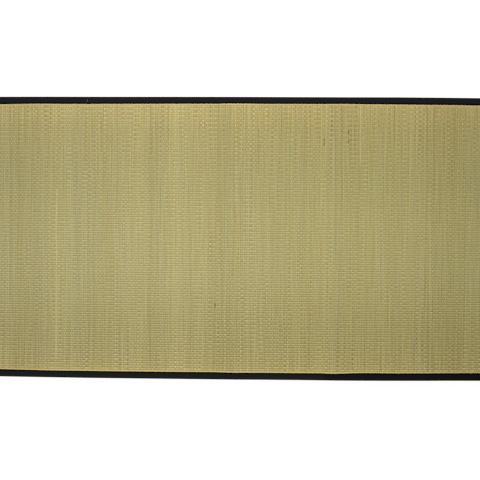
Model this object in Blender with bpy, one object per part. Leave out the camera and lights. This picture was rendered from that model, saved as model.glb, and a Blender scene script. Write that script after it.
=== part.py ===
"""A tatami mat: a woven rush cover over its board, with a cloth binding along each long side.

The mat lies flat. X runs along its length, Y across its width and Z up, and the origin is in the
middle of its underside. The rush stems lie across the width, and the woven rows that hold them
run along the length, over both short ends and down to the floor. Each binding is one strip of
cloth: it covers a long edge on top, goes down the side, turns under, and closes its two corners.
Lengths are in metres.
"""

import math

import bmesh
import bpy

# Driving dimensions of the whole mat
LENGTH = 1.820
WIDTH = 0.910
HEIGHT = 0.055

# Woven rows, each a low rib along the length
ROW_PITCH = 0.0075
ROW_COUNT = 116
ROW_DEPTH = 0.0009
ROW_RUN_IN = 0.0010

# Binding cloth
CLOTH = 0.0015
GAP = 0.0003
TURN_UNDER = 0.030
TURN_TAPER = 0.012

# How far each long edge bows out between its ends
BACK_BOW = 0.0024
FRONT_BOW = 0.0042

# Roundings of the outer surface
SIDE_RADIUS = 0.004
END_RADIUS = 0.006
ARC_STEPS = 3

# Straight stretches that make up a long side, an odd number so that the middle one is square to Y
SIDE_STRETCHES = 17

# Width of each binding on top, as the hand-sewn edge wanders: place along X, back, front
BINDING_WIDTHS = (
    (-0.910, 0.0222, 0.0222),
    (-0.680, 0.0217, 0.0218),
    (-0.580, 0.0216, 0.0206),
    (-0.390, 0.0213, 0.0210),
    (-0.200, 0.0206, 0.0218),
    (0.000, 0.0194, 0.0207),
    (0.110, 0.0210, 0.0214),
    (0.300, 0.0208, 0.0207),
    (0.400, 0.0212, 0.0236),
    (0.500, 0.0212, 0.0229),
    (0.600, 0.0225, 0.0238),
    (0.910, 0.0230, 0.0240),
)

# Cloth and its gap together: how far the rush mat lies inside the outer surface of the bindings
COVER = CLOTH + GAP

# How far a cutter reaches past what it cuts
CUTTER_SPARE = 0.010

RUSH_COLOUR = (0.392, 0.341, 0.146, 1.0)
CLOTH_COLOUR = (0.014, 0.014, 0.016, 1.0)


def clear_scene():
    """Remove every object that the new file starts with."""
    for thing in list(bpy.data.objects):
        bpy.data.objects.remove(thing, do_unlink=True)


def plain_material(name, colour, roughness):
    """A Principled material of one colour."""
    material = bpy.data.materials.new(name)
    material.use_nodes = True
    shader = material.node_tree.nodes["Principled BSDF"]
    shader.inputs["Base Color"].default_value = colour
    shader.inputs["Roughness"].default_value = roughness
    shader.inputs["Metallic"].default_value = 0.0
    return material


def add_object(name, bm, material):
    """Put a finished bmesh into the scene as one named object."""
    bmesh.ops.recalc_face_normals(bm, faces=bm.faces)
    mesh = bpy.data.meshes.new(name)
    bm.to_mesh(mesh)
    bm.free()
    mesh.materials.append(material)
    mesh.shade_smooth()
    mesh.set_sharp_from_angle(angle=math.radians(30.0))
    thing = bpy.data.objects.new(name, mesh)
    bpy.context.scene.collection.objects.link(thing)
    return thing


def side_places():
    """Places along X, between the end roundings, where a long side changes direction."""
    reach = LENGTH / 2 - END_RADIUS
    return [reach * (2 * step / SIDE_STRETCHES - 1) for step in range(1, SIDE_STRETCHES)]


def side_reach(x, side):
    """Distance of a long edge from the mat's middle line at x. side is -1 in front, 1 at the back."""
    bow = BACK_BOW if side > 0 else FRONT_BOW
    straight = 1 / SIDE_STRETCHES
    along = abs(x) / (LENGTH / 2)
    fall = max(0.0, (along - straight) / (1 - straight))
    return WIDTH / 2 - bow * fall**2


def binding_width(x, side):
    """Width of a binding on top at x, read between the rows of BINDING_WIDTHS."""
    column = 1 if side > 0 else 2
    for before, after in zip(BINDING_WIDTHS, BINDING_WIDTHS[1:]):
        if x <= after[0]:
            share = (x - before[0]) / (after[0] - before[0])
            return before[column] + share * (after[column] - before[column])
    return BINDING_WIDTHS[-1][column]


def end_stations(end, cover):
    """Places up a short end and round onto the top, as (x, z, outward x, outward z).

    end is -1 or 1, and cover is how far the surface lies inside the outer one.
    """
    reach = LENGTH / 2 - cover
    top = HEIGHT - cover
    radius = END_RADIUS - cover
    stations = [(end * reach, 0.0, end, 0.0)]
    for step in range(ARC_STEPS + 1):
        turn = math.pi / 2 * step / ARC_STEPS
        out_x = end * math.cos(turn)
        out_z = math.sin(turn)
        x = end * (reach - radius) + radius * out_x
        z = top - radius + radius * out_z
        stations.append((x, z, out_x, out_z))
    return stations


def edge_rounding(cover):
    """Rounding of a long edge, as (distance in from the side, depth below the surface)."""
    radius = SIDE_RADIUS - cover
    places = []
    for step in range(ARC_STEPS + 1):
        turn = math.pi / 2 * step / ARC_STEPS
        places.append((radius * (1 - math.cos(turn)), radius * (1 - math.sin(turn))))
    return places


def edge_points(x, side, cover):
    """The rounded long edge at x, from the side wall up onto the top, as (y, depth)."""
    reach = side_reach(x, side) - cover
    return [(side * (reach - inward), depth) for inward, depth in edge_rounding(cover)]


def woven_rows():
    """The ribs across the width, as (y, depth): a trough beside each row and its crest between."""
    half = ROW_PITCH * ROW_COUNT / 2
    rows = [(-half - ROW_RUN_IN, 0.0)]
    for row in range(ROW_COUNT):
        trough = row * ROW_PITCH - half
        rows.append((trough, ROW_DEPTH))
        rows.append((trough + ROW_PITCH / 2, 0.0))
    rows.append((half, ROW_DEPTH))
    rows.append((half + ROW_RUN_IN, 0.0))
    return rows


def place_row(bm, station, across):
    """One row of vertices across the mat at a station, each sunk by its depth."""
    x, z, out_x, out_z = station
    return [bm.verts.new((x - depth * out_x, y, z - depth * out_z)) for y, depth in across]


def join_rows(bm, first, second):
    """Faces between two rows of the same length."""
    for left, right, next_right, next_left in zip(first, first[1:], second[1:], second):
        bm.faces.new((left, right, next_right, next_left))


def rush_end(bm, end):
    """The cover up one short end, as rows of vertices from the floor to the top."""
    rows = []
    for station in end_stations(end, COVER):
        front = edge_points(station[0], -1, COVER)
        back = edge_points(station[0], 1, COVER)
        rows.append(place_row(bm, station, front + woven_rows() + back[::-1]))
    for before, after in zip(rows, rows[1:]):
        join_rows(bm, before, after)
    return rows


def rush_side(bm, side, ends):
    """One long side: its rounded edge, its flat margin on top and its wall.

    ends holds the rows of both short ends. The result is the side's line of vertices on the floor.
    """
    edge_count = ARC_STEPS + 1
    edge = slice(0, edge_count) if side < 0 else slice(None, -edge_count - 1, -1)
    first_rib = edge_count if side < 0 else -edge_count - 1
    outermost = 0 if side < 0 else -1
    left_top, right_top = (ends[end][-1] for end in (-1, 1))

    strips = [left_top[edge]]
    for x in side_places():
        strips.append(place_row(bm, (x, HEIGHT - COVER, 0.0, 1.0), edge_points(x, side, COVER)))
    strips.append(right_top[edge])
    for before, after in zip(strips, strips[1:]):
        join_rows(bm, before, after)

    # Margin under the binding, between the rounded edge and the first rib
    bm.faces.new([strip[-1] for strip in strips] + [right_top[first_rib], left_top[first_rib]])

    # Wall down to the floor, and its corners beside the short ends
    wall_top = [strip[0] for strip in strips]
    foot = [bm.verts.new((v.co.x, v.co.y, 0.0)) for v in wall_top]
    join_rows(bm, wall_top, foot)
    bm.faces.new([row[outermost] for row in ends[-1]] + [foot[0]])
    bm.faces.new([row[outermost] for row in ends[1]] + [foot[-1]])
    return foot


def build_rush_mat(material):
    """The rush cover and its board, with the ribs running over the top and down both short ends."""
    bm = bmesh.new()
    ends = {end: rush_end(bm, end) for end in (-1, 1)}

    # Ribs along the top, each face reaching from end to end
    ribs = slice(ARC_STEPS + 1, -ARC_STEPS - 1)
    join_rows(bm, ends[-1][-1][ribs], ends[1][-1][ribs])

    front_foot = rush_side(bm, -1, ends)
    back_foot = rush_side(bm, 1, ends)

    # Underside
    join_rows(bm, front_foot, back_foot)
    bm.faces.new(ends[-1][0] + [back_foot[0], front_foot[0]])
    bm.faces.new(ends[1][0] + [back_foot[-1], front_foot[-1]])

    mat = add_object("rush_mat", bm, material)
    cut_rebate(mat, -1)
    cut_rebate(mat, 1)
    return mat


def cut_rebate(mat, side):
    """Let the binding's turned-under edge lie flush in the underside."""
    deep = TURN_UNDER + GAP
    bpy.ops.mesh.primitive_cube_add(size=1.0)
    cutter = bpy.context.object
    cutter.name = "rebate_cutter_back" if side > 0 else "rebate_cutter_front"
    for corner in cutter.data.vertices:
        x, y, z = corner.co
        corner.co.x = math.copysign(LENGTH / 2 + CUTTER_SPARE, x)
        corner.co.y = side * (WIDTH / 2 - deep if y < 0 else WIDTH / 2 + CUTTER_SPARE)
        corner.co.z = COVER if z > 0 else -CUTTER_SPARE
    if side < 0:
        cutter.data.flip_normals()
    cutter.hide_render = True
    cutter.display_type = "WIRE"
    cut = mat.modifiers.new(cutter.name, "BOOLEAN")
    cut.operation = "DIFFERENCE"
    cut.solver = "EXACT"
    cut.object = cutter


def build_binding(name, side, material):
    """One cloth strip: on top, down the long side, turned under, and folded over both corners."""
    bm = bmesh.new()
    stations = end_stations(-1, 0.0)
    stations += [(x, HEIGHT, 0.0, 1.0) for x in side_places()]
    stations += end_stations(1, 0.0)[::-1]
    rows = []
    for station in stations:
        sewn_edge = side * (side_reach(station[0], side) - binding_width(station[0], side))
        across = edge_points(station[0], side, 0.0) + [(sewn_edge, 0.0)]
        rows.append(place_row(bm, station, across))
    for before, after in zip(rows, rows[1:]):
        join_rows(bm, before, after)

    # Side wall, from the top run down to the floor
    end_rows = ARC_STEPS + 1
    wall_top = [row[0] for row in rows[end_rows:-end_rows]]
    foot = [bm.verts.new((v.co.x, v.co.y, 0.0)) for v in wall_top]
    join_rows(bm, wall_top, foot)
    bm.faces.new([row[0] for row in rows[: end_rows + 1]] + [foot[0]])
    bm.faces.new([row[0] for row in rows[-end_rows - 1 :]] + [foot[-1]])

    # Edge turned under, flat on the floor, its corners folded in from the short ends
    inner = side * (WIDTH / 2 - TURN_UNDER)
    turned = [bm.verts.new((end * (LENGTH / 2 - TURN_TAPER), inner, 0.0)) for end in (-1, 1)]
    bm.faces.new([turned[0]] + rows[0][::-1] + foot + rows[-1] + [turned[1]])

    strip = add_object(name, bm, material)
    thick = strip.modifiers.new("cloth", "SOLIDIFY")
    thick.thickness = CLOTH
    thick.offset = -1.0
    thick.use_even_offset = True
    thick.use_quality_normals = True
    return strip


def main():
    """Build the mat and its two bindings."""
    clear_scene()
    rush = plain_material("woven rush", RUSH_COLOUR, 0.72)
    cloth = plain_material("binding cloth", CLOTH_COLOUR, 0.85)
    build_rush_mat(rush)
    build_binding("binding_back", 1, cloth)
    build_binding("binding_front", -1, cloth)


main()
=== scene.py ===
"""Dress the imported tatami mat: its woven rush cover, two cloth bindings, thread and underside.

The mat lies flat on a pale studio floor and the camera looks straight down on it. X runs along
the mat, Y across it and Z up, in metres. The rush stems lie across the mat and pass over and
under by turns, so that every woven row shows one half of the stems and the next row the other.
"""

import logging
import math
from dataclasses import dataclass
from enum import Enum

import bmesh
import bpy
import numpy as np
from mathutils import Euler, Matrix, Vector


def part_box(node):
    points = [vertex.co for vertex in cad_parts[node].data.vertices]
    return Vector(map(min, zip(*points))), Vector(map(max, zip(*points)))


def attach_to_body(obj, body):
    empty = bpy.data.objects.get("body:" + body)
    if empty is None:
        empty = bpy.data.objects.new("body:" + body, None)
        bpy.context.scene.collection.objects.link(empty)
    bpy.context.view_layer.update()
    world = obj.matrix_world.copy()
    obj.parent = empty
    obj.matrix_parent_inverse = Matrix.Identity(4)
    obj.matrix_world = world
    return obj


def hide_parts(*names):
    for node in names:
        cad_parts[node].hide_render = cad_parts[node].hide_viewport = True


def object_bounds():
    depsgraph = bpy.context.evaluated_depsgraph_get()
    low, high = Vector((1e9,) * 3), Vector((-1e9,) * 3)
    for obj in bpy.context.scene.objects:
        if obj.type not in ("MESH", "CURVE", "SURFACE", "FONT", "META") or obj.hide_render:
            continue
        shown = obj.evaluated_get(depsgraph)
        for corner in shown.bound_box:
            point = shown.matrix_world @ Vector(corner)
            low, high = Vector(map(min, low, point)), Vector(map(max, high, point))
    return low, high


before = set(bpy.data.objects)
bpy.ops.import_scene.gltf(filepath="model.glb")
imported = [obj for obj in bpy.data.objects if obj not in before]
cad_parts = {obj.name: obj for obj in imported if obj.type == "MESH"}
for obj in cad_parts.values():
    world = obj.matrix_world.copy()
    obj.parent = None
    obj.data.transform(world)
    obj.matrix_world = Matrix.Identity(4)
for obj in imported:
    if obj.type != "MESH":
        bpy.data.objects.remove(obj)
CAD_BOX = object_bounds()

LOG = logging.getLogger("tatami")
BODY = "root"

Colour = tuple[float, float, float]
Triple = tuple[float, float, float]
WHITE = (1.0, 1.0, 1.0, 1.0)


class Side(Enum):
    """A long side of the mat, with its direction along Y."""

    FRONT = -1
    BACK = 1


class End(Enum):
    """A short end of the mat, with its direction along X."""

    LEFT = -1
    RIGHT = 1


@dataclass(frozen=True)
class SewnPlace:
    """One place along the mat, and how the hand-sewn edges lie there.

    A fall is how far a long edge lies inside the mat's half width, and a band is the width of the
    binding on top of it.
    """

    x: float
    back_fall: float
    front_fall: float
    back_band: float
    front_band: float


@dataclass(frozen=True)
class MatSizes:
    """Sizes that every piece shares.

    The outer ones come from the frame, and the rest repeat the ones that the solids are built to.
    The cover is how far the rush lies below the top of the bindings, and the turn taper how far
    a binding's turned-under edge stops short of each end.
    """

    length: float
    width: float
    height: float
    cover: float
    row_pitch: float = 0.0075
    row_count: int = 116
    row_depth: float = 0.0009
    back_bow: float = 0.0024
    front_bow: float = 0.0042
    side_radius: float = 0.004
    end_radius: float = 0.006
    turn_under: float = 0.030
    turn_taper: float = 0.012
    sewn: tuple[SewnPlace, ...] = (
        SewnPlace(-0.910, 0.0014, 0.0043, 0.0248, 0.0249),
        SewnPlace(-0.750, 0.0009, 0.0028, 0.0244, 0.0245),
        SewnPlace(-0.650, 0.0005, 0.0020, 0.0230, 0.0235),
        SewnPlace(-0.600, 0.0004, 0.0016, 0.0235, 0.0229),
        SewnPlace(-0.500, 0.0003, 0.0008, 0.0238, 0.0237),
        SewnPlace(-0.390, 0.0001, 0.0006, 0.0234, 0.0233),
        SewnPlace(-0.240, -0.0002, 0.0002, 0.0228, 0.0236),
        SewnPlace(-0.080, -0.0004, -0.0002, 0.0225, 0.0244),
        SewnPlace(-0.020, -0.0005, -0.0003, 0.0215, 0.0227),
        SewnPlace(0.080, -0.0004, 0.0001, 0.0226, 0.0233),
        SewnPlace(0.200, -0.0003, 0.0001, 0.0224, 0.0232),
        SewnPlace(0.274, -0.0002, -0.0003, 0.0224, 0.0239),
        SewnPlace(0.276, -0.0002, -0.0003, 0.0224, 0.0223),
        SewnPlace(0.314, -0.0001, -0.0005, 0.0217, 0.0225),
        SewnPlace(0.350, -0.0001, -0.0003, 0.0219, 0.0245),
        SewnPlace(0.400, -0.0002, -0.0002, 0.0229, 0.0258),
        SewnPlace(0.500, -0.0003, 0.0005, 0.0233, 0.0250),
        SewnPlace(0.600, 0.0003, 0.0014, 0.0241, 0.0253),
        SewnPlace(0.660, 0.0007, 0.0023, 0.0235, 0.0252),
        SewnPlace(0.750, 0.0015, 0.0030, 0.0242, 0.0256),
        SewnPlace(0.910, 0.0023, 0.0042, 0.0243, 0.0256),
    )

    @classmethod
    def from_frame(cls) -> "MatSizes":
        """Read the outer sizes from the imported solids.

        Returns:
            The sizes of this mat.
        """
        low, high = CAD_BOX
        _, rush_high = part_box("rush_mat")
        return cls(
            length=high[0] - low[0],
            width=high[1] - low[1],
            height=high[2] - low[2],
            cover=high[2] - rush_high[2],
        )

    @property
    def rows_half(self) -> float:
        """Half of the width that the woven rows fill."""
        return self.row_pitch * self.row_count / 2

    def squeeze(self, x: np.ndarray, side: Side) -> np.ndarray:
        """How much the woven rows draw in towards the ends, as a share of their place.

        Args:
            x: Places along the mat.
            side: The half of the mat.

        Returns:
            A share just under 1 for each place.
        """
        bow = self.back_bow if side is Side.BACK else self.front_bow
        return 1 - bow / (self.width / 2) * (x / (self.length / 2)) ** 2

    def sewn_column(self, x: float | np.ndarray, name: str) -> float | np.ndarray:
        """One column of the sewn places, read between them."""
        places = [place.x for place in self.sewn]
        return np.interp(x, places, [getattr(place, name) for place in self.sewn])

    def reach(self, x: float | np.ndarray, side: Side) -> float | np.ndarray:
        """Distance of a long edge from the middle line.

        Args:
            x: Place along the mat.
            side: Which long edge.

        Returns:
            The distance along Y, always positive.
        """
        return self.width / 2 - self.sewn_column(x, f"{side.name.lower()}_fall")

    def sewn_edge(self, x: float | np.ndarray, side: Side) -> float | np.ndarray:
        """Distance of a binding's inner edge from the middle line.

        Args:
            x: Place along the mat.
            side: Which binding.

        Returns:
            The distance along Y, always positive.
        """
        return self.reach(x, side) - self.sewn_column(x, f"{side.name.lower()}_band")


@dataclass(frozen=True)
class WrapPath:
    """The way up the left end, along the top and down the right end, in the XZ plane."""

    reach: float
    top: float
    radius: float

    @property
    def rise(self) -> float:
        """Length of the straight climb at each end."""
        return self.top - self.radius

    @property
    def arc(self) -> float:
        """Length of each rounded corner."""
        return self.radius * math.pi / 2

    @property
    def run(self) -> float:
        """Length of the flat run on top."""
        return 2 * (self.reach - self.radius)

    @property
    def total(self) -> float:
        """Length of the whole way."""
        return 2 * (self.rise + self.arc) + self.run

    def places(self, along: np.ndarray) -> tuple[np.ndarray, ...]:
        """Points on the path and their outward directions.

        Args:
            along: Distances along the path.

        Returns:
            Arrays of x, z, outward x and outward z.
        """
        middle = self.total / 2
        half = np.abs(along - middle)
        end = np.sign(along - middle)
        past = half - self.run / 2
        turn = np.clip(past / self.radius, 0.0, math.pi / 2)
        down = np.clip(past - self.arc, 0.0, None)
        out_x, out_z = np.sin(turn), np.cos(turn)
        x = np.minimum(half, self.run / 2) + self.radius * out_x
        z = self.top - self.radius + self.radius * out_z - down
        return end * x, z, end * out_x, out_z


class NodeSketch:
    """One node material in the making."""

    def __init__(self, name: str) -> None:
        """Start a material that holds a Principled shader and its output."""
        self.material = bpy.data.materials.new(name)
        self.material.use_nodes = True
        self.tree = self.material.node_tree
        self.shader = self.tree.nodes["Principled BSDF"]

    def add(self, kind: str, inputs: dict | None = None, **settings: object) -> bpy.types.Node:
        """Add a node.

        Args:
            kind: The node's type name.
            inputs: Input name or number to a value, or to a socket that feeds it.
            **settings: Properties of the node itself.

        Returns:
            The new node.
        """
        node = self.tree.nodes.new(kind)
        for name, value in settings.items():
            setattr(node, name, value)
        for name, value in (inputs or {}).items():
            self.feed(node, name, value)
        return node

    def feed(self, node: bpy.types.Node, name: str | int, value: object) -> None:
        """Give a node's input a value, or join another node's output to it.

        Args:
            node: The node.
            name: The input's name or number.
            value: The value, or the socket that feeds it.
        """
        if isinstance(value, bpy.types.NodeSocket):
            self.tree.links.new(value, node.inputs[name])
        else:
            node.inputs[name].default_value = value

    def attribute(self, name: str) -> bpy.types.NodeSocket:
        """The number that the mesh holds under a name, from place to place."""
        return self.add("ShaderNodeAttribute", attribute_name=name).outputs["Fac"]

    def math(self, operation: str, *values: object) -> bpy.types.NodeSocket:
        """The result of a Math node."""
        return self.add("ShaderNodeMath", dict(enumerate(values)), operation=operation).outputs[0]

    def by_channel(self, operation: str, *values: object) -> bpy.types.NodeSocket:
        """The result of a Vector Math node, for red, green and blue each."""
        inputs = dict(enumerate(values))
        return self.add("ShaderNodeVectorMath", inputs, operation=operation).outputs[0]

    def scaled(self, colour: object, factor: object) -> bpy.types.NodeSocket:
        """A colour times a number."""
        inputs = {0: colour, "Scale": factor}
        return self.add("ShaderNodeVectorMath", inputs, operation="SCALE").outputs[0]

    def mixed(self, factor: object, first: object, second: object) -> bpy.types.NodeSocket:
        """A colour between two others.

        Args:
            factor: 0 for the first colour and 1 for the second.
            first: A colour, or a socket that holds one.
            second: Another.

        Returns:
            The colour.
        """
        node = self.add("ShaderNodeMix", {"Factor": factor}, data_type="RGBA")
        ends = [number for number, socket in enumerate(node.inputs) if socket.type == "RGBA"]
        for number, value in zip(ends, (first, second)):
            self.feed(node, number, value if isinstance(value, bpy.types.NodeSocket) else (*value, 1.0))
        return [socket for socket in node.outputs if socket.type == "RGBA"][0]

    def place(self) -> bpy.types.NodeOutputs:
        """The X, Y and Z of the Object coordinates."""
        where = self.add("ShaderNodeTexCoord").outputs["Object"]
        return self.add("ShaderNodeSeparateXYZ", {0: where}).outputs

    def spanned(self, value: object, low: float, high: float) -> bpy.types.NodeSocket:
        """A value's place between two others, from 0 to 1."""
        inputs = {"Value": value, "From Min": low, "From Max": high}
        return self.add("ShaderNodeMapRange", inputs).outputs["Result"]

    def times(self, *factors: object) -> bpy.types.NodeSocket:
        """The product of several numbers.

        Args:
            *factors: Numbers, or sockets that hold them.

        Returns:
            The product.
        """
        product = factors[0]
        for factor in factors[1:]:
            product = self.math("MULTIPLY", product, factor)
        return product

    def shaded(self, value: object, by: float) -> bpy.types.NodeSocket:
        """A factor of 1 that a value from 0 to 1 takes down by a share."""
        return self.math("MULTIPLY_ADD", value, -by, 1.0)

    def swung(self, value: object, gain: float) -> bpy.types.NodeSocket:
        """A factor near 1 that a value from 0 to 1 swings by half the gain either way."""
        return self.math("MULTIPLY_ADD", value, gain, 1.0 - gain / 2)

    def noise(
        self,
        scale: Triple,
        detail: float = 2.0,
        where: bpy.types.NodeSocket | None = None,
    ) -> bpy.types.NodeSocket:
        """Noise from 0 to 1.

        Args:
            scale: Waves per metre along X, Y and Z.
            detail: Octaves.
            where: Coordinates to read, or None for Object coordinates.

        Returns:
            The noise's value.
        """
        where = where or self.add("ShaderNodeTexCoord").outputs["Object"]
        mapping = self.add("ShaderNodeMapping", {"Vector": where, "Scale": scale})
        inputs = {"Vector": mapping.outputs[0], "Scale": 1.0, "Detail": detail}
        return self.add("ShaderNodeTexNoise", inputs).outputs["Fac"]

    def bump(
        self,
        height: bpy.types.NodeSocket,
        distance: float,
        under: bpy.types.NodeSocket | None = None,
    ) -> bpy.types.NodeSocket:
        """A normal that a height bends.

        Args:
            height: The height, from 0 to 1.
            distance: Metres for each unit of height.
            under: Another bump's normal that this one builds on.

        Returns:
            The normal.
        """
        inputs = {"Strength": 1.0, "Distance": distance, "Height": height}
        if under is not None:
            inputs["Normal"] = under
        return self.add("ShaderNodeBump", inputs).outputs["Normal"]

    def finish(self, colour: object, normal: object, roughness: float, specular: float) -> None:
        """Give the shader its colour, its normal, and its plain numbers on their own sockets.

        Args:
            colour: The surface's colour.
            normal: The surface's normal.
            roughness: How dull it is, from 0 to 1.
            specular: How strongly it reflects, from 0 to 1.
        """
        self.feed(self.shader, "Base Color", colour)
        self.feed(self.shader, "Normal", normal)
        self.shader.inputs["Roughness"].default_value = roughness
        self.shader.inputs["Specular IOR Level"].default_value = specular


@dataclass(frozen=True)
class RushFinish:
    """Dried rush: straw yellow with some green, lightest beside the bindings.

    The colours across and along belong to places in metres from the mat's middle. Both hold painted
    light as well as the rush's own colour: a painted highlight beside both bindings, and lighter
    towards the front edge and darker towards the right end, where the lamps fall off. A row shade is
    the painted shade in the valley between two rows, as the share of each colour that is lost there.
    """

    name: str = "woven_rush"
    # Partly painted light: lightest beside both bindings, a painted highlight, and lighter towards the
    # front edge, where the key lamp falls off.
    across: tuple[tuple[float, Colour], ...] = (
        (-0.435, (0.494, 0.403, 0.168)),
        (-0.400, (0.435, 0.363, 0.156)),
        (-0.345, (0.402, 0.341, 0.148)),
        (-0.280, (0.391, 0.335, 0.146)),
        (-0.110, (0.414, 0.361, 0.168)),
        (0.060, (0.407, 0.355, 0.162)),
        (0.175, (0.386, 0.335, 0.149)),
        (0.240, (0.380, 0.327, 0.138)),
        (0.350, (0.399, 0.335, 0.133)),
        (0.435, (0.480, 0.389, 0.152)),
    )
    # Partly painted shade: darker towards the right end, where the light falls off; the rush also turns
    # yellower there.
    along: tuple[tuple[float, Colour], ...] = (
        (-0.910, (0.977, 0.985, 1.028)),
        (-0.550, (0.973, 0.983, 1.025)),
        (0.000, (0.978, 0.987, 0.985)),
        (0.620, (0.990, 0.993, 0.945)),
        (0.760, (0.930, 0.930, 0.880)),
        (0.910, (0.915, 0.915, 0.865)),
    )
    warm_tint: Colour = (1.000, 1.000, 0.870)
    cool_tint: Colour = (1.000, 1.000, 1.120)
    ruddy_tint: Colour = (1.043, 0.959, 0.992)
    green_tint: Colour = (0.957, 1.041, 1.006)
    # Colour of the painted highlight on the rush beside each binding.
    highlight_colour: Colour = (0.620, 0.490, 0.195)
    fleck_colour: Colour = (0.150, 0.085, 0.035)
    tone_gain: Colour = (0.104, 0.111, 0.128)
    row_height: float = 0.00070
    row_shades: tuple[tuple[float, Colour], ...] = (
        (-0.435, (0.000, 0.000, 0.180)),
        (-0.200, (0.000, 0.000, 0.200)),
        (0.050, (0.044, 0.054, 0.245)),
        (0.145, (0.043, 0.052, 0.238)),
        (0.260, (0.020, 0.025, 0.113)),
        (0.435, (0.004, 0.005, 0.055)),
    )
    groove_shade: float = 0.30
    groove_edge: float = 3.0
    fibre_scale: Triple = (900.0, 14.0, 900.0)
    fibre_detail: float = 3.0
    fibre_gain: float = 0.12
    fibre_height: float = 0.00007
    roughness: float = 0.62
    specular: float = 0.30

    @staticmethod
    def ramp(
        sketch: NodeSketch,
        place: bpy.types.NodeSocket,
        half: float,
        stops: tuple[tuple[float, Colour], ...],
    ) -> bpy.types.NodeSocket:
        """A colour that changes from place to place.

        Args:
            sketch: The material in the making.
            place: A coordinate, in metres from the middle of the mat.
            half: How far the ramp reaches either way.
            stops: Places and the colours there.

        Returns:
            The colour.
        """
        node = sketch.add("ShaderNodeValToRGB", {"Fac": sketch.spanned(place, -half, half)})
        marks = node.color_ramp.elements
        while len(marks) < len(stops):
            marks.new(0.5)
        for mark, (where, colour) in zip(marks, stops):
            mark.position = (where + half) / (2 * half)
            mark.color = (*colour, 1.0)
        return node.outputs["Color"]

    def ground(self, sketch: NodeSketch, sizes: MatSizes) -> bpy.types.NodeSocket:
        """The rush by its place on the mat, lighter, warmer or greener from stem to stem.

        Args:
            sketch: The material in the making.
            sizes: Sizes of the mat.

        Returns:
            A colour.
        """
        place = sketch.place()
        pairs = ((self.cool_tint, self.warm_tint, "warm"), (self.green_tint, self.ruddy_tint, "ruddy"))
        tints = [self.ramp(sketch, place["X"], sizes.length / 2, self.along)]
        for low, high, name in pairs:
            amount = sketch.spanned(sketch.attribute(name), -1.0, 1.0)
            tints.append(sketch.mixed(amount, low, high))
        tone = sketch.attribute("tone")
        tints.append(sketch.by_channel("MULTIPLY_ADD", tone, self.tone_gain, WHITE[:3]))
        colour = self.ramp(sketch, place["Y"], sizes.rows_half, self.across)
        for tint in tints:
            colour = sketch.by_channel("MULTIPLY", colour, tint)
        return colour

    def material(self, sizes: MatSizes) -> bpy.types.Material:
        """Build the node material.

        Each row's rounded height goes with inward times what is left of 1, which is a quarter at
        the row's middle, so that the bump's distance is four times the height.

        Args:
            sizes: Sizes of the mat.

        Returns:
            The finished material.
        """
        sketch = NodeSketch(self.name)
        fibre = sketch.noise(self.fibre_scale, self.fibre_detail)
        row_middle = 0.5
        inward = sketch.math("PINGPONG", sketch.attribute("row"), row_middle)
        valley = sketch.spanned(inward, row_middle, 0.0)
        shade = self.ramp(sketch, sketch.place()["Y"], sizes.rows_half, self.row_shades)
        lost = sketch.scaled(shade, sketch.math("MULTIPLY", valley, -1.0))
        groove = sketch.math("POWER", sketch.attribute("groove"), self.groove_edge)
        factor = sketch.times(
            sketch.shaded(groove, self.groove_shade),
            sketch.swung(fibre, self.fibre_gain),
        )
        # Painted highlight: beside each binding the rush is mixed towards a light colour.
        ground = sketch.mixed(sketch.attribute("pale"), self.ground(sketch, sizes), self.highlight_colour)
        shaded = sketch.scaled(sketch.by_channel("MULTIPLY_ADD", ground, lost, ground), factor)
        colour = sketch.mixed(sketch.attribute("fleck"), shaded, self.fleck_colour)
        grain = sketch.bump(fibre, self.fibre_height)
        crest = sketch.times(inward, sketch.math("SUBTRACT", 1.0, inward))
        normal = sketch.bump(crest, 4 * self.row_height, under=grain)
        sketch.finish(colour, normal, self.roughness, self.specular)
        return sketch.material


@dataclass(frozen=True)
class ClothJoin:
    """Where one length of binding cloth ends along X, and how light the next one is beside it."""

    x: float
    share: float


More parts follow.
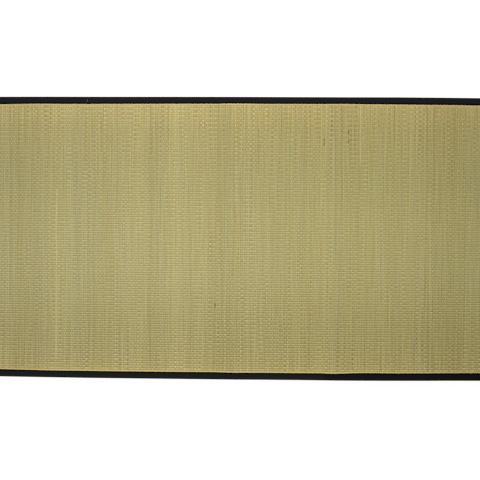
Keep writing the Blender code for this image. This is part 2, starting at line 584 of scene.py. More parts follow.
@dataclass(frozen=True)
class BindingFinish:
    """Near-black cotton in a plain weave, a little paler towards the outside of the mat, with a painted
    shadow along its sewn inner fold.
    """

    name: str = "binding_cloth"
    colour: Colour = (0.0121, 0.0121, 0.0125)
    # Near-black of the painted shadow along the sewn inner fold.
    fold_shadow_colour: Colour = (0.0010, 0.0010, 0.0020)
    outer_gain: float = 0.12
    paler_from: float = 0.022
    thread_pitch: float = 0.0008
    pick_pitch: float = 0.0010
    thread_gain: float = 0.75
    thread_height: float = 0.00018
    slub_scale: Triple = (9.0, 700.0, 1.0)
    slub_gain: float = 0.36
    joins: tuple[ClothJoin, ...] = ()
    join_width: float = 0.0016
    join_shade: float = 0.40
    roughness: float = 0.85
    specular: float = 0.03

    def joined(self, sketch: NodeSketch) -> bpy.types.NodeSocket | float:
        """How light the cloth is along the mat, with a dark line at each join.

        Args:
            sketch: The material in the making.

        Returns:
            A factor.
        """
        light: bpy.types.NodeSocket | float = 1.0
        for join in self.joins:
            away = sketch.math("SUBTRACT", sketch.place()["X"], join.x)
            past = sketch.math("GREATER_THAN", away, 0.0)
            line = sketch.math("LESS_THAN", sketch.math("ABSOLUTE", away), self.join_width / 2)
            light = sketch.times(
                light,
                sketch.shaded(past, 1.0 - join.share),
                sketch.shaded(line, self.join_shade),
            )
        return light

    def material(self) -> bpy.types.Material:
        """Build the node material.

        Returns:
            The finished material.
        """
        sketch = NodeSketch(self.name)
        across = sketch.attribute("across")
        along = sketch.attribute("along")
        threads = sketch.math("SINE", sketch.times(across, math.tau / self.thread_pitch))
        picks = sketch.math("SINE", sketch.times(along, math.tau / self.pick_pitch))
        weave = sketch.math("MULTIPLY_ADD", sketch.times(threads, picks), 0.5, 0.5)
        flat = sketch.add("ShaderNodeCombineXYZ", {0: along, 1: across}).outputs[0]
        slub = sketch.noise(self.slub_scale, where=flat)
        outward = sketch.spanned(across, self.paler_from, 0.0)
        factor = sketch.times(
            sketch.swung(weave, self.thread_gain),
            sketch.swung(slub, self.slub_gain),
            sketch.math("MULTIPLY_ADD", outward, self.outer_gain, 1.0),
            self.joined(sketch),
        )
        cloth = sketch.scaled(self.colour, factor)
        # Painted shadow: the cloth darkens to near-black along its sewn inner fold.
        colour = sketch.mixed(sketch.attribute("seam"), cloth, self.fold_shadow_colour)
        normal = sketch.bump(weave, self.thread_height)
        sketch.finish(colour, normal, self.roughness, self.specular)
        return sketch.material


@dataclass(frozen=True)
class ThreadFinish:
    """Light grey cotton thread."""

    name: str = "loose_thread"
    colour: Colour = (0.26, 0.26, 0.25)
    ply_scale: Triple = (2500.0, 700.0, 2500.0)
    ply_gain: float = 0.4
    ply_height: float = 0.0001
    roughness: float = 0.9
    specular: float = 0.1

    def material(self) -> bpy.types.Material:
        """Build the node material.

        Returns:
            The finished material.
        """
        sketch = NodeSketch(self.name)
        ply = sketch.noise(self.ply_scale)
        colour = sketch.scaled(self.colour, sketch.swung(ply, self.ply_gain))
        sketch.finish(colour, sketch.bump(ply, self.ply_height), self.roughness, self.specular)
        return sketch.material


@dataclass(frozen=True)
class BackingFinish:
    """The plain woven sheet on the underside, sewn through with long stitches of straw cord."""

    name: str = "backing_sheet"
    colour: Colour = (0.30, 0.26, 0.17)
    stitch_colour: Colour = (0.46, 0.41, 0.28)
    weave_scale: Triple = (1200.0, 90.0, 900.0)
    weave_gain: float = 0.5
    weave_height: float = 0.0002
    patch_scale: Triple = (6.0, 9.0, 6.0)
    patch_detail: float = 3.0
    patch_gain: float = 0.3
    stitch_length: float = 0.018
    stitch_width: float = 0.0016
    stitch_rise: float = 3.0
    roughness: float = 0.9
    specular: float = 0.15

    def stitches(self, sketch: NodeSketch, row_pitch: float) -> bpy.types.NodeSocket:
        """Where the long stitches show, as runs with gaps of the same length.

        Args:
            sketch: The material in the making.
            row_pitch: Distance from one row of stitches to the next.

        Returns:
            1 on a stitch and 0 off it.
        """
        place = sketch.place()
        half = row_pitch / 2
        off = sketch.math("PINGPONG", sketch.math("ADD", place["Y"], half), half)
        on_row = sketch.math("LESS_THAN", off, self.stitch_width / 2)
        run = sketch.math("PINGPONG", place["X"], self.stitch_length)
        return sketch.times(on_row, sketch.math("LESS_THAN", run, self.stitch_length / 2))

    def material(self, row_pitch: float) -> bpy.types.Material:
        """Build the node material.

        Args:
            row_pitch: Distance from one row of stitches to the next.

        Returns:
            The finished material.
        """
        sketch = NodeSketch(self.name)
        weave = sketch.noise(self.weave_scale)
        patches = sketch.noise(self.patch_scale, self.patch_detail)
        factor = sketch.times(
            sketch.swung(weave, self.weave_gain),
            sketch.swung(patches, self.patch_gain),
        )
        sheet = sketch.scaled(self.colour, factor)
        stitch = self.stitches(sketch, row_pitch)
        colour = sketch.mixed(stitch, sheet, self.stitch_colour)
        height = sketch.math("MULTIPLY_ADD", stitch, self.stitch_rise, weave)
        normal = sketch.bump(height, self.weave_height)
        sketch.finish(colour, normal, self.roughness, self.specular)
        return sketch.material


def finished_object(
    name: str,
    bm: bmesh.types.BMesh,
    material: bpy.types.Material,
) -> bpy.types.Object:
    """Put a finished bmesh into the scene as one piece.

    Args:
        name: The piece's name.
        bm: The shape, which is freed.
        material: Its finish.

    Returns:
        The new object, at the origin.
    """
    mesh = bpy.data.meshes.new(name)
    bm.to_mesh(mesh)
    bm.free()
    mesh.materials.append(material)
    mesh.shade_smooth()
    piece = bpy.data.objects.new(name, mesh)
    bpy.context.scene.collection.objects.link(piece)
    return piece


def attach(piece: bpy.types.Object, slot: str, *nodes: str) -> None:
    """Ride a piece on the mat, and hide the solids that it stands for.

    Args:
        piece: The piece.
        slot: A material slot's name, which is not used.
        *nodes: The solids that it replaces.
    """
    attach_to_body(piece, BODY)
    if nodes:
        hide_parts(*nodes)
    LOG.info("%s: %d faces", piece.name, len(piece.data.polygons))


@dataclass(frozen=True)
class StemMark:
    """A stem or a few that stand out: where along X, from which Y to which, and how."""

    x: float
    low: float
    high: float
    tone: float
    fleck: float = 0.0


@dataclass(frozen=True)
class ToneMix:
    """How much each cause adds to the light and dark, the warmth and the redness of the stems.

    A wander is each stem's own, along its length. The evening takes off a share of what nearby
    stems have in common. A bundle is a run of like stems, a neighbour sets each stem off from the
    next one, and a passing is afresh wherever a stem comes to the top. A reach counts stems. The
    light and dark are weaker in the middle of the mat than beside its bindings.
    """

    wander: float = 1.14
    evening: float = 0.52
    evening_reach: int = 15
    bundle: float = 0.24
    bundle_reach: int = 55
    neighbour: float = 0.40
    passing: float = 0.20
    middle: float = 0.77
    middle_to_edge: float = 0.48
    warm_wander: float = 0.30
    warm_bundle: float = 0.125
    warm_reach: int = 25
    warm_passing: float = 0.22
    ruddy_wander: float = 0.25
    ruddy_passing: float = 0.32


@dataclass
class StripLines:
    """The lines of points in one strip of the cover, from its front to its back.

    Each has its place across the mat, its depth below the crests at every stem, and its number
    counted in woven rows, so that a row's middle is at a half.
    """

    y: np.ndarray
    depth: np.ndarray
    row: np.ndarray

    def with_margin(self, side: Side, steps: tuple[float, ...], depth: float) -> "StripLines":
        """The same lines with more beyond one end, where the strip runs in under its binding.

        Args:
            side: The end to add them to.
            steps: How far beyond the last line each new one lies.
            depth: How deep they lie.

        Returns:
            The longer strip.
        """
        edge = 0 if side is Side.FRONT else -1
        pairs = (
            (self.y, self.y[edge] + side.value * np.array(steps)),
            (self.depth, np.full((len(steps), self.depth.shape[1]), depth)),
            (self.row, np.full(len(steps), self.row[edge])),
        )
        if side is Side.FRONT:
            return StripLines(*(np.concatenate([new[::-1], old]) for old, new in pairs))
        return StripLines(*(np.concatenate([old, new]) for old, new in pairs))


@dataclass
class RushCover:
    """The woven rush cover, in strips that run over the top and down both short ends.

    The strips have no cut between them: each starts on the line where the last one stops. Along
    a stem, fresh numbers lie a knot pitch apart and hold for about a tone length. A painted
    highlight lightens the rush within the highlight reach of a binding, and the margin runs in under
    it.
    """

    sizes: MatSizes
    finish: RushFinish
    mix: ToneMix = ToneMix()
    stem_pitch: float = 0.00105
    stem_spread: float = 0.22
    groove: float = 0.00045
    strip_rows: tuple[int, ...] = (23, 23, 24, 23, 23)
    knot_pitch: float = 0.040
    tone_length: float = 0.100
    steady_share: float = 0.13
    highlight_reach: float = 0.0055
    margin_steps: tuple[float, ...] = (0.0010, 0.0060)
    margin_depth: float = 0.0003
    mark_reach: float = 0.0017
    stem_unevenness: float = 0.10
    groove_unevenness: float = 0.15
    dip_unevenness: float = 0.06
    blend: tuple[float, ...] = (1.0, 2.0, 3.0, 2.0, 1.0)
    seed: int = 20
    marks: tuple[StemMark, ...] = (
        StemMark(-0.593, -0.390, 0.160, 2.4),
        StemMark(0.384, 0.240, 0.430, 2.2),
        StemMark(-0.016, 0.120, 0.430, 1.6),
        StemMark(0.058, 0.205, 0.350, -2.2),
        StemMark(0.3455, 0.336, 0.352, -1.0, 0.75),
        StemMark(0.3455, 0.306, 0.320, -1.0, 0.75),
        StemMark(0.268, 0.300, 0.324, -1.0, 0.55),
        StemMark(-0.079, -0.228, -0.212, -2.0, 0.65),
    )

    def __post_init__(self) -> None:
        """Lay out the stems and the rows."""
        self.rng = np.random.default_rng(self.seed)
        s = self.sizes
        self.path = WrapPath(
            reach=s.length / 2 - s.cover,
            top=s.height - s.cover,
            radius=s.end_radius - s.cover,
        )
        count = round(self.path.total / self.stem_pitch)
        widths = 1 + self.stem_spread * self.rng.uniform(-1, 1, count)
        self.stems = np.concatenate([[0.0], np.cumsum(widths)]) * self.path.total / widths.sum()
        self.lines = np.arange(2 * s.row_count + 1) * s.row_pitch / 2 - s.rows_half
        self.middles = self.lines[1::2]

    def drift(self) -> np.ndarray:
        """Numbers that wander along each stem, around a steady share of its own.

        Returns:
            One for each woven row and stem, of spread 1.
        """
        count = len(self.stems)
        knots = int((self.lines[-1] - self.lines[0]) / self.knot_pitch) + 2
        keep = math.exp(-self.knot_pitch / self.tone_length)
        values = np.empty((knots, count))
        values[0] = self.rng.normal(size=count)
        for knot in range(1, knots):
            fresh = self.rng.normal(size=count)
            values[knot] = keep * values[knot - 1] + math.sqrt(1 - keep**2) * fresh
        place = (self.middles - self.lines[0]) / self.knot_pitch
        before = place.astype(int)
        share = (place - before)[:, None]
        wander = (1 - share) * values[before] + share * values[before + 1]
        steady = self.rng.normal(size=count)
        return math.sqrt(1 - self.steady_share) * wander + math.sqrt(self.steady_share) * steady

    def bundles(self, reach: int) -> np.ndarray:
        """Numbers that change slowly from stem to stem, as one bundle of rush follows another.

        Args:
            reach: How many stems to either side have a part in each number.

        Returns:
            One for each stem, of spread 1.
        """
        rough = self.rng.normal(size=len(self.stems) + 2 * reach)
        window = np.hanning(2 * reach + 1)
        return np.convolve(rough, window / np.sqrt((window**2).sum()), mode="valid")

    def blended(self, values: np.ndarray) -> np.ndarray:
        """Values averaged over a few stems, with their spread kept."""
        window = np.array(self.blend) / np.linalg.norm(self.blend)
        return np.apply_along_axis(np.convolve, 1, values, window, mode="same")

    def evened(self, values: np.ndarray) -> np.ndarray:
        """Values with a share of the average over the stems nearby taken off.

        Args:
            values: A number for each woven row and stem.

        Returns:
            The same numbers, with less difference from one bundle of stems to the next.
        """
        window = np.hanning(2 * self.mix.evening_reach + 1)
        nearby = np.apply_along_axis(np.convolve, 1, values, window / window.sum(), mode="same")
        return values - self.mix.evening * nearby

    def across(self, lines: np.ndarray, x: np.ndarray) -> np.ndarray:
        """Where the lines lie across the mat, as its long edges draw in towards the ends.

        Args:
            lines: Place across the mat of each line, at the middle of its length.
            x: Places along the mat.

        Returns:
            One place for each line and each x.
        """
        back = lines[:, None] * self.sizes.squeeze(x, Side.BACK)
        front = lines[:, None] * self.sizes.squeeze(x, Side.FRONT)
        return np.where(lines[:, None] > 0, back, front)

    def edge_highlight(self, x: np.ndarray, y: np.ndarray) -> np.ndarray:
        """How strongly a painted highlight lightens the rush beside the bindings.

        Args:
            x: Places along the mat.
            y: Places across it, one for each x.

        Returns:
            1 beside a binding and 0 from the highlight reach inwards.
        """
        back = self.sizes.sewn_edge(x, Side.BACK) - y
        front = self.sizes.sewn_edge(x, Side.FRONT) + y
        inside = np.minimum(back, front)
        return np.clip((self.highlight_reach - inside) / (self.highlight_reach / 2), 0.0, 1.0)

    def on_top(self) -> np.ndarray:
        """Which stems lie on top.

        Returns:
            Whether it does, for each woven row and stem.
        """
        rows = np.arange(self.sizes.row_count)[:, None]
        stems = np.arange(len(self.stems))[None]
        return (rows + stems) % 2 == 0

    def looks(self) -> dict[str, np.ndarray]:
        """The numbers that the finish reads on each stretch of stem that lies on top.

        Returns:
            Arrays named tone, warm, ruddy and fleck: a number for each woven row and stem.
        """
        mix = self.mix
        along = self.stems - self.path.total / 2
        by_turns = 1 - 2 * (np.arange(len(along)) % 2)
        tone = mix.wander * self.evened(self.drift()) + mix.bundle * self.bundles(mix.bundle_reach)
        tone += mix.neighbour * self.blended(self.drift()) * by_turns
        tone += mix.passing * self.rng.normal(size=tone.shape)
        edgeward = (self.middles / self.sizes.rows_half) ** 2
        tone *= (mix.middle + mix.middle_to_edge * edgeward)[:, None]
        warm = mix.warm_wander * self.blended(self.drift())
        warm += mix.warm_bundle * self.bundles(mix.warm_reach)
        warm += mix.warm_passing * self.rng.normal(size=tone.shape)
        fleck = np.zeros_like(tone)
        for mark in self.marks:
            near = np.abs(along - mark.x) < self.mark_reach
            within = (self.middles > mark.low) & (self.middles < mark.high)
            patch = within[:, None] & near[None]
            tone[patch] += mark.tone
            fleck[patch] = mark.fleck
        ruddy = mix.ruddy_wander * self.blended(self.drift())
        ruddy += mix.ruddy_passing * self.rng.normal(size=tone.shape)
        return {
            "tone": tone,
            "warm": np.clip(warm, -1, 1),
            "ruddy": np.clip(ruddy, -1, 1),
            "fleck": fleck,
        }

    def relief(self) -> np.ndarray:
        """How deep each point lies below the crests.

        Returns:
            A depth for each line and stem.
        """
        count = len(self.stems)
        thin = self.stem_unevenness * self.groove * self.rng.normal(size=count)
        rows = np.broadcast_to(thin, (self.sizes.row_count, count))
        deep = self.groove * (1 + self.groove_unevenness * self.rng.normal(size=rows.shape))
        out = np.empty((len(self.lines), count))
        out[1::2] = np.where(self.on_top(), np.abs(rows), deep)
        dips = 1 + self.dip_unevenness * self.rng.normal(size=(len(self.lines[::2]), count))
        out[::2] = self.sizes.row_depth * dips
        return out

    def strip(
        self,
        name: str,
        lines: StripLines,
        looks: dict[str, np.ndarray],
        material: bpy.types.Material,
    ) -> bpy.types.Object:
        """Build one strip of the cover from a grid.

        Args:
            name: The piece's name.
            lines: Its lines of points.
            looks: The numbers that the finish reads on each stretch of stem.
            material: The rush finish.

        Returns:
            The strip.
        """
        columns, steps = len(self.stems) - 1, len(lines.y) - 1
        bm = bmesh.new()
        bm.loops.layers.uv.new("UVMap")
        bmesh.ops.create_grid(bm, x_segments=columns, y_segments=steps, size=1.0, calc_uvs=True)
        piece = finished_object(name, bm, material)
        mesh = piece.data
        flat = np.empty(3 * len(mesh.vertices), np.float32)
        mesh.vertices.foreach_get("co", flat)
        grid_x, grid_y, _ = flat.reshape(-1, 3).T
        stem = np.rint((grid_x + 1) / 2 * columns).astype(int)
        line = np.rint((grid_y + 1) / 2 * steps).astype(int)

        along = self.path.places(self.stems)
        y = self.across(lines.y, along[0])[line, stem]
        x, z, out_x, out_z = (values[stem] for values in along)
        sunk = lines.depth[line, stem]
        places = np.stack([x - sunk * out_x, y, z - sunk * out_z], axis=1)
        mesh.vertices.foreach_set("co", places.astype(np.float32).ravel())
        self.note(mesh, "row", "POINT", lines.row[line])
        # Painted highlight: how far each point beside a binding is lightened.
        self.note(mesh, "pale", "POINT", self.edge_highlight(x, y))
        self.note_stems(mesh, stem, lines.row[line], looks)
        self.crease(mesh, stem, lines.row[line])
        mesh.update()
        return piece

    @staticmethod
    def note(mesh: bpy.types.Mesh, name: str, domain: str, values: np.ndarray) -> None:
        """Keep one number for each point, face or face corner of a mesh."""
        layer = mesh.attributes.new(name, "FLOAT", domain)
        layer.data.foreach_set("value", values.astype(np.float32).ravel())

    def note_stems(
        self,
        mesh: bpy.types.Mesh,
        stem: np.ndarray,
        row: np.ndarray,
        looks: dict[str, np.ndarray],
    ) -> None:
        """Give every face the numbers of the stem it belongs to, and mark the grooves beside it.

        Args:
            mesh: The strip's mesh.
            stem: Stem number of each point.
            row: Row number of each point, a half at a row's middle.
            looks: The numbers that the finish reads, for each woven row and stem.
        """
        quads = np.empty(len(mesh.loops), np.int32)
        mesh.loops.foreach_get("vertex_index", quads)
        quads = quads.reshape(-1, 4)
        last = self.sizes.row_count - 1
        face_row = np.minimum(row[quads].mean(axis=1).astype(int), last)
        first_stem = stem[quads].min(axis=1)
        face_stem = first_stem + (face_row + first_stem) % 2
        for name, values in looks.items():
            self.note(mesh, name, "FACE", values[face_row, face_stem])
        self.note(mesh, "groove", "CORNER", (face_row[:, None] + stem[quads]) % 2)

    @staticmethod
    def crease(mesh: bpy.types.Mesh, stem: np.ndarray, row: np.ndarray) -> None:
        """Keep the dips between rows and between stems sharp, and round the stems themselves.

        Args:
            mesh: The strip's mesh.
            stem: Stem number of each point.
            row: Row number of each point, a half at a row's middle.
        """
        ends = np.empty(2 * len(mesh.edges), np.int32)
        mesh.edges.foreach_get("vertices", ends)
        first, second = ends.reshape(-1, 2).T
        same_line = row[first] == row[second]
        middle = (row[first] + row[second]) / 2
        between_rows = same_line & (middle % 1 == 0)
        between_stems = ~same_line & ((middle.astype(int) + stem[first]) % 2 == 1)
        sharp = mesh.attributes.new("sharp_edge", "BOOLEAN", "EDGE")
        sharp.data.foreach_set("value", between_rows | between_stems)

    def build(self) -> list[bpy.types.Object]:
        """Build every strip.

        Returns:
            The strips, from the front to the back.
        """
        material = self.finish.material(self.sizes)
        looks = self.looks()
        depth = self.relief()
        numbers = np.arange(len(self.lines)) / 2
        strips = []
        row = 0
        for number, rows in enumerate(self.strip_rows, 1):
            part = slice(2 * row, 2 * (row + rows) + 1)
            lines = StripLines(self.lines[part], depth[part], numbers[part])
            if row == 0:
                lines = lines.with_margin(Side.FRONT, self.margin_steps, self.margin_depth)
            if row + rows == self.sizes.row_count:
                lines = lines.with_margin(Side.BACK, self.margin_steps, self.margin_depth)
            strips.append(self.strip(f"rush_cover_{number}", lines, looks, material))
            row += rows
        for piece in strips:
            attach(piece, "woven_rush", "rush_mat")
        return strips


@dataclass
class Binding:
    """One cloth binding: over a long edge, down the side, turned under, and over both corners."""

    sizes: MatSizes
    side: Side
    finish: BindingFinish
    station_pitch: float = 0.012
    climb_steps: int = 4
    turn_steps: int = 5
    side_steps: int = 4
    cloth: float = 0.0012
    top_lines: int = 14
    wall_lines: int = 8
    fold_reach: float = 0.0035
    fold_drop: float = 0.0009
    fold_curve: float = 2.5
    # Painted shadow on the last lines before the sewn fold, the line farthest from it taking less.
    fold_shadow_amounts: tuple[float, ...] = (0.60, 1.0, 1.0, 1.0)
    crease_angle: float = 50.0

    def __post_init__(self) -> None:
        """Lay out the path that the cloth follows."""
        s = self.sizes
        self.path = WrapPath(reach=s.length / 2, top=s.height, radius=s.end_radius)
        self.node = f"binding_{self.side.name.lower()}"

    def stations(self) -> np.ndarray:
        """Distances along the path, close together on the rounded corners.

        Returns:
            The distances, from the left end's foot to the right end's.
        """
        p = self.path
        climb = np.linspace(0.0, p.rise, self.climb_steps + 1)
        turn = np.linspace(p.rise, p.rise + p.arc, self.turn_steps + 1)[1:]
        run = np.linspace(0.0, p.run, round(p.run / self.station_pitch) + 1)[1:]
        left = np.concatenate([climb, turn])
        return np.concatenate([left, p.rise + p.arc + run, (p.total - left)[::-1][1:]])

    def profile(self, x: float) -> list[tuple[float, float, float]]:
        """The cloth across the top at x, from the side wall in to the sewn fold.

        Args:
            x: Place along the mat.

        Returns:
            Place along Y, depth below the top, and distance across the cloth.
        """
        radius = self.sizes.side_radius
        sign = self.side.value
        start = self.sizes.reach(x, self.side) - radius
        inner = self.sizes.sewn_edge(x, self.side)
        points = []
        for step in range(self.side_steps + 1):
            turn = math.pi / 2 * step / self.side_steps
            y = start + radius * math.cos(turn)
            points.append((sign * y, radius * (1 - math.sin(turn)), radius * turn))
        bend = radius * math.pi / 2
        for step in range(1, self.top_lines + 1):
            y = start + (inner - start) * step / self.top_lines
            fold = max(0.0, 1 - (y - inner) / self.fold_reach)
            points.append((sign * y, self.fold_drop * fold**self.fold_curve, bend + start - y))
        return points

    def lay_top(self, bm: bmesh.types.BMesh) -> list[list[bmesh.types.BMVert]]:
        """Lay the cloth over the top and down both short ends, from a grid.

        Args:
            bm: The shape in the making.

        Returns:
            One row of points for each station, from the side wall in to the sewn fold.
        """
        across = bm.verts.layers.float.new("across")
        along = bm.verts.layers.float.new("along")
        seam = bm.verts.layers.float.new("seam")
        stations = self.stations()
        x, z, out_x, out_z = self.path.places(stations)
        profiles = [self.profile(place) for place in x]
        columns, steps = len(stations) - 1, len(profiles[0]) - 1
        bmesh.ops.create_grid(bm, x_segments=columns, y_segments=steps, size=1.0)
        rows = [[None] * (steps + 1) for _ in stations]
        for vert in bm.verts:
            n = round((vert.co.x + 1) / 2 * columns)
            line = round((vert.co.y + 1) / 2 * steps)
            y, depth, distance = profiles[n][line]
            vert.co = (x[n] - depth * out_x[n], y, z[n] - depth * out_z[n])
            vert[across] = distance
            vert[along] = stations[n]
            rows[n][line] = vert
        # The last lines before the sewn fold take the painted shadow.
        for row in rows:
            for vert, shade in zip(row[-len(self.fold_shadow_amounts) :], self.fold_shadow_amounts):
                vert[seam] = shade
        return rows

    def hang_wall(
        self,
        bm: bmesh.types.BMesh,
        rim: list[bmesh.types.BMVert],
    ) -> list[list[bmesh.types.BMVert]]:
        """Hang the cloth down the long side, step by step from the rim.

        Args:
            bm: The shape in the making.
            rim: Points along the top of the wall, from left to right.

        Returns:
            The points of each step, and the foot last.
        """
        across = bm.verts.layers.float["across"]
        drop = (self.sizes.height - self.sizes.side_radius) / self.wall_lines
        steps = []
        line = rim
        for _ in range(self.wall_lines):
            edges = [bm.edges.get(pair) for pair in zip(line, line[1:])]
            grown = bmesh.ops.extrude_edge_only(bm, edges=edges)["geom"]
            line = [item for item in grown if isinstance(item, bmesh.types.BMVert)]
            line.sort(key=lambda vert: vert.co.x)
            bmesh.ops.translate(bm, vec=(0.0, 0.0, -drop), verts=line)
            for vert in line:
                vert[across] -= drop
            steps.append(line)
        return steps

    def close(
        self,
        bm: bmesh.types.BMesh,
        rows: list[list[bmesh.types.BMVert]],
        wall: list[list[bmesh.types.BMVert]],
    ) -> None:
        """Close both short ends of the side wall, and turn the cloth in under the mat.

        Args:
            bm: The shape in the making.
            rows: Points of the top, one row for each station.
            wall: Points of the wall, one line for each step down.
        """
        s = self.sizes
        corner = self.climb_steps + self.turn_steps + 1
        left = [row[0] for row in rows[:corner]]
        right = [row[0] for row in rows[: -corner - 1 : -1]]
        bm.faces.new(left + [line[0] for line in wall])
        bm.faces.new(right + [line[-1] for line in wall])
        across = bm.verts.layers.float["across"]
        along = bm.verts.layers.float["along"]
        turned = []
        for end in End:
            place = (end.value * (s.length / 2 - s.turn_taper), 0.0, 0.0)
            vert = bm.verts.new(place)
            vert.co.y = self.side.value * (s.width / 2 - s.turn_under)
            vert[across] = -s.height - s.turn_under
            vert[along] = self.path.total / 2 + vert.co.x
            turned.append(vert)
        bm.faces.new([turned[0], *rows[0][::-1], *wall[-1], *rows[-1], turned[1]])
        bmesh.ops.recalc_face_normals(bm, faces=bm.faces)

    def build(self) -> bpy.types.Object:
        """Build the binding as one piece of cloth with its thickness.

        Returns:
            The binding.
        """
        s = self.sizes
        bm = bmesh.new()
        rows = self.lay_top(bm)
        first = self.climb_steps + self.turn_steps
        wall = self.hang_wall(bm, [row[0] for row in rows[first : len(rows) - first]])
        self.close(bm, rows, wall)
        piece = finished_object(f"{self.node}_cloth", bm, self.finish.material())
        piece.data.set_sharp_from_angle(angle=math.radians(self.crease_angle))
        thick = piece.modifiers.new("cloth", "SOLIDIFY")
        thick.thickness = self.cloth
        thick.offset = -1.0
        thick.use_even_offset = True
        attach(piece, "binding_cloth", self.node)
        flat_width = s.width / 2 - s.sewn_edge(0.0, self.side) + s.height + s.turn_under
        return piece


@dataclass
class LooseThread:
    """A short thread that lies across the back binding."""

    sizes: MatSizes
    finish: ThreadFinish
    x: float = -0.4955
    inside: float = 0.0135
    length: float = 0.0100
    thickness: float = 0.0009
    tip_share: float = 0.5
    slant: float = -0.36
    bow: float = 0.0008
    sides: int = 6
    cuts: int = 7

    def build(self) -> bpy.types.Object:
        """Build the thread.

        Returns:
            The thread.
        """
        s = self.sizes
        bm = bmesh.new()
        bmesh.ops.create_cone(
            bm,
            cap_ends=True,
            segments=self.sides,
            radius1=self.thickness / 2,
            radius2=self.thickness / 2 * self.tip_share,
            depth=self.length,
        )
        long_edges = [e for e in bm.edges if abs(e.verts[0].co.z - e.verts[1].co.z) > self.length / 2]
        bmesh.ops.subdivide_edges(bm, edges=long_edges, cuts=self.cuts, use_grid_fill=True)
        for vert in bm.verts:
            vert.co.x += self.bow * (1 - (2 * vert.co.z / self.length) ** 2)
        turn = Euler((math.pi / 2, 0.0, self.slant)).to_matrix()
        bmesh.ops.rotate(bm, matrix=turn, verts=bm.verts)
        place = (self.x, s.reach(self.x, Side.BACK) - self.inside, s.height + self.thickness / 2)
        bmesh.ops.translate(bm, vec=place, verts=bm.verts)
        bmesh.ops.recalc_face_normals(bm, faces=bm.faces)
        piece = finished_object("loose_thread", bm, self.finish.material())
        attach(piece, "binding_cloth")
        return piece


@dataclass
class Underside:
    """The sewn sheet below the mat, between the turned-under edges of the bindings."""

    sizes: MatSizes
    finish: BackingFinish
    stitch_rows: int = 28
    lines_per_row: int = 4
    length_steps: int = 60
    edge_gap: float = 0.001
    level: float = 0.0002
    swell: float = 0.0007

    def build(self) -> bpy.types.Object:
        """Build the sheet, which is drawn up into the mat along its rows of stitches.

        Returns:
            The sheet.
        """
        s = self.sizes
        length = s.length - 2 * s.cover
        width = s.width - 2 * (s.turn_under + self.edge_gap)
        pitch = width / self.stitch_rows
        bm = bmesh.new()
        bm.loops.layers.uv.new("UVMap")
        bmesh.ops.create_grid(
            bm,
            x_segments=self.length_steps,
            y_segments=self.stitch_rows * self.lines_per_row,
            size=0.5,
            calc_uvs=True,
        )
        bmesh.ops.scale(bm, vec=(length, width, 1.0), verts=bm.verts)
        for vert in bm.verts:
            between = abs(math.cos(math.pi * vert.co.y / pitch))
            vert.co.z = self.level + self.swell * (1 - between)
        bmesh.ops.reverse_faces(bm, faces=bm.faces)
        piece = finished_object("underside_sheet", bm, self.finish.material(pitch))
        attach(piece, "woven_rush", "rush_mat")
        return piece


@dataclass(frozen=True)
class StudioFinish:
    """A pale floor that stays near white under the lights."""

    name: str = "studio_floor"
    colour: Colour = (0.12, 0.12, 0.12)
    roughness: float = 0.9
    glow: float = 0.980

    def material(self) -> bpy.types.Material:
        """Build the node material.

        Returns:
            The finished material.
        """
        sketch = NodeSketch(self.name)
        sketch.shader.inputs["Base Color"].default_value = (*self.colour, 1.0)
        sketch.shader.inputs["Roughness"].default_value = self.roughness
        sketch.shader.inputs["Emission Color"].default_value = WHITE
        sketch.shader.inputs["Emission Strength"].default_value = self.glow
        return sketch.material


@dataclass(frozen=True)
class Lamp:
    """A round soft light: where it hangs, what it faces, its width and its power in watts."""

    name: str
    place: Triple
    aim: Triple
    size: float
    power: float

    def build(self) -> None:
        """Hang the light."""
        data = bpy.data.lights.new(self.name, "AREA")
        data.shape = "DISK"
        data.size = self.size
        data.energy = self.power
        lamp = bpy.data.objects.new(self.name, data)
        lamp.location = self.place
        way = Vector(self.aim) - Vector(self.place)
        lamp.rotation_euler = way.to_track_quat("-Z", "Y").to_euler()
        lamp.visible_camera = False
        bpy.context.scene.collection.objects.link(lamp)


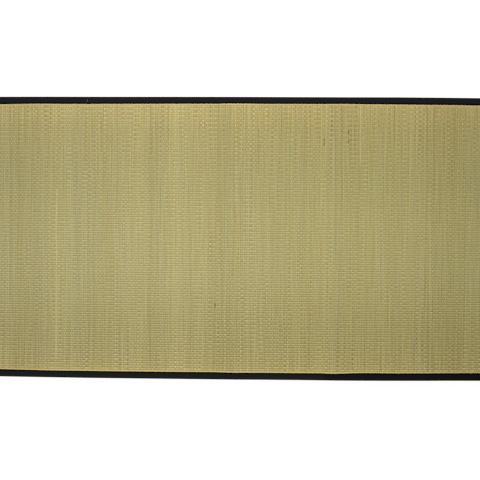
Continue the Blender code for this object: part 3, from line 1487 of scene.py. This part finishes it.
@dataclass
class Studio:
    """The floor, the light in the air, the lamps and the camera."""

    floor: StudioFinish
    floor_reach: float = 60.0
    floor_drop: float = 0.0005
    lamps: tuple[Lamp, ...] = (
        Lamp("key", (-0.400, 0.69, 1.70), (-0.060, -2.5, 0.0), 0.60, 46.1),
        Lamp("side", (0.77, 0.26, 1.02), (0.13, -0.05, 0.0), 0.40, 3.7),
    )
    fill: float = 0.08
    camera_place: Triple = (0.0355, 0.0144, 2.1976)
    camera_turn: Triple = (-0.00878, 0.01654, 0.00588)
    lens: float = 50.0
    sharpness: float = 1.45

    def lay_floor(self) -> None:
        """Lay the floor, a little below the mat."""
        bm = bmesh.new()
        bmesh.ops.create_grid(bm, x_segments=1, y_segments=1, size=self.floor_reach)
        bmesh.ops.translate(bm, vec=(0.0, 0.0, -self.floor_drop), verts=bm.verts)
        finished_object(self.floor.name, bm, self.floor.material())

    def light_air(self) -> None:
        """Fill the room with a little light, and let it look as pale as the floor from afar."""
        scene = bpy.context.scene
        world = scene.world or bpy.data.worlds.new("studio")
        scene.world = world
        world.use_nodes = True
        tree = world.node_tree
        air = tree.nodes["Background"]
        seen = tree.nodes.new("ShaderNodeBackground")
        far_floor = self.floor.glow + self.floor.colour[0] * self.fill
        for node, strength in ((air, self.fill), (seen, far_floor)):
            node.inputs["Color"].default_value = WHITE
            node.inputs["Strength"].default_value = strength
        either = tree.nodes.new("ShaderNodeMixShader")
        ray = tree.nodes.new("ShaderNodeLightPath")
        tree.links.new(ray.outputs["Is Camera Ray"], either.inputs["Fac"])
        tree.links.new(air.outputs[0], either.inputs[1])
        tree.links.new(seen.outputs[0], either.inputs[2])
        tree.links.new(either.outputs[0], tree.nodes["World Output"].inputs["Surface"])

    def set_camera(self) -> None:
        """Hang the camera above the mat."""
        scene = bpy.context.scene
        lens = bpy.data.cameras.new("camera")
        lens.lens = self.lens
        camera = bpy.data.objects.new("camera", lens)
        camera.location = self.camera_place
        camera.rotation_euler = Euler(self.camera_turn)
        scene.collection.objects.link(camera)
        scene.camera = camera
        scene.view_settings.view_transform = "Standard"
        scene.cycles.filter_width = self.sharpness

    def build(self) -> None:
        """Build the floor, the lights and the camera."""
        self.lay_floor()
        self.light_air()
        for lamp in self.lamps:
            lamp.build()
        self.set_camera()


def main() -> None:
    """Build the pieces in order."""
    logging.basicConfig(level=logging.INFO, format="%(name)s: %(message)s")
    sizes = MatSizes.from_frame()
    joins = (ClothJoin(0.275, 0.70), ClothJoin(0.6010, 0.90))
    finishes = {
        Side.FRONT: BindingFinish(name="front_binding", outer_gain=0.25, joins=joins),
        Side.BACK: BindingFinish(name="back_binding"),
    }
    Studio(StudioFinish()).build()
    RushCover(sizes, RushFinish()).build()
    for side, finish in finishes.items():
        Binding(sizes, side, finish).build()
    LooseThread(sizes, ThreadFinish()).build()
    Underside(sizes, BackingFinish()).build()


if __name__ == "__main__":
    main()
